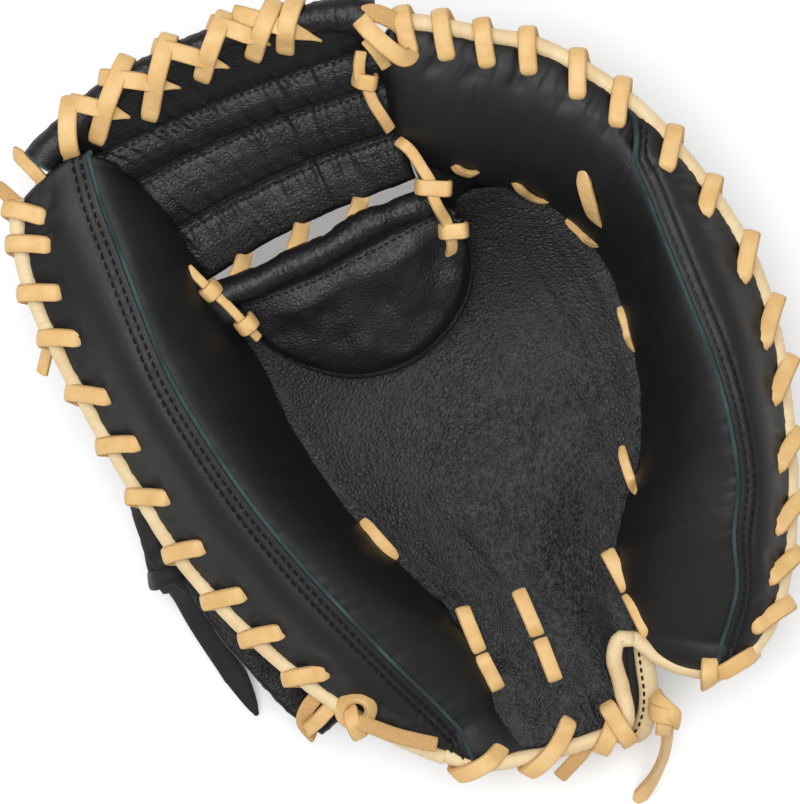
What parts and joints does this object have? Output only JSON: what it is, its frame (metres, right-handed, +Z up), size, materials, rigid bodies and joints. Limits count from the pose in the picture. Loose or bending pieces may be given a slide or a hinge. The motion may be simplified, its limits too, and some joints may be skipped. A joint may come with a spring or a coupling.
{
  "type": "baseball catcher's mitt",
  "caption": "Left-hand leather catcher's mitt with padded crescents, laced web, bound and laced rim and a deep pocket; the thumb side folds over the ball.",
  "frame": {"origin": "on the floor under the middle of the mitt's bounding box, the mitt lying on its back", "axes": "+Z up, out of the pocket; +Y from the heel to the web; +X from the thumb side to the finger side"},
  "size_m": [0.2493, 0.324, 0.1242],
  "materials": {
    "black_leather": "satin, fine pebble grain",
    "pale_leather": "smooth, satin",
    "rawhide": "smooth face, rough back",
    "wool_felt": "matt",
    "tan_lining": "matt suede"
  },
  "bodies": {
    "finger_side": {"finger_outer": "black_leather", "finger_wall": "black_leather", "finger_pad": "wool_felt", "finger_back": "black_leather", "finger_piping": "pale_leather", "finger_lace": "rawhide", "notch_piping": "pale_leather", "pocket_lace_fingers": "rawhide", "wrist_piping_fingers": "pale_leather", "palm_leather": "black_leather", "palm_felt": "wool_felt", "palm_lining": "tan_lining", "lining_piping": "pale_leather", "heel_piping": "pale_leather", "heel_lace": "rawhide", "heel_knot": "rawhide", "heel_tail": "rawhide", "heel_stitch_1": "rawhide", "heel_stitch_2": "rawhide", "heel_stitch_3": "rawhide", "web_panel": "black_leather", "web_top_roll": "black_leather", "web_top_lace": "rawhide", "web_left_lace": "rawhide", "web_right_lace": "rawhide", "web_gap_lace": "rawhide", "web_tongue": "black_leather", "web_tongue_roll": "black_leather", "wrist_strap": "black_leather"},
    "thumb_side": {"thumb_outer": "black_leather", "thumb_wall": "black_leather", "thumb_pad": "wool_felt", "thumb_back": "black_leather", "thumb_piping": "pale_leather", "thumb_lace": "rawhide", "thumb_knot": "rawhide", "pocket_lace_thumb": "rawhide", "pull_strap": "black_leather", "wrist_piping_thumb": "pale_leather"}
  },
  "joints": [
    {"name": "mitt_close", "type": "hinge", "parent": "finger_side", "child": "thumb_side", "pos_m": [0.0013, -0.0038, 0.0571], "axis": [-0.1204, 0.9865, 0.1112], "range_deg": [0, 45], "deforming": ["palm_leather", "palm_felt", "palm_lining", "lining_piping", "heel_piping", "heel_lace", "heel_stitch_1", "heel_stitch_2", "heel_stitch_3", "web_panel", "web_top_roll", "web_top_lace", "web_left_lace", "web_right_lace", "web_gap_lace", "web_tongue", "web_tongue_roll", "wrist_strap"]}
  ]
}
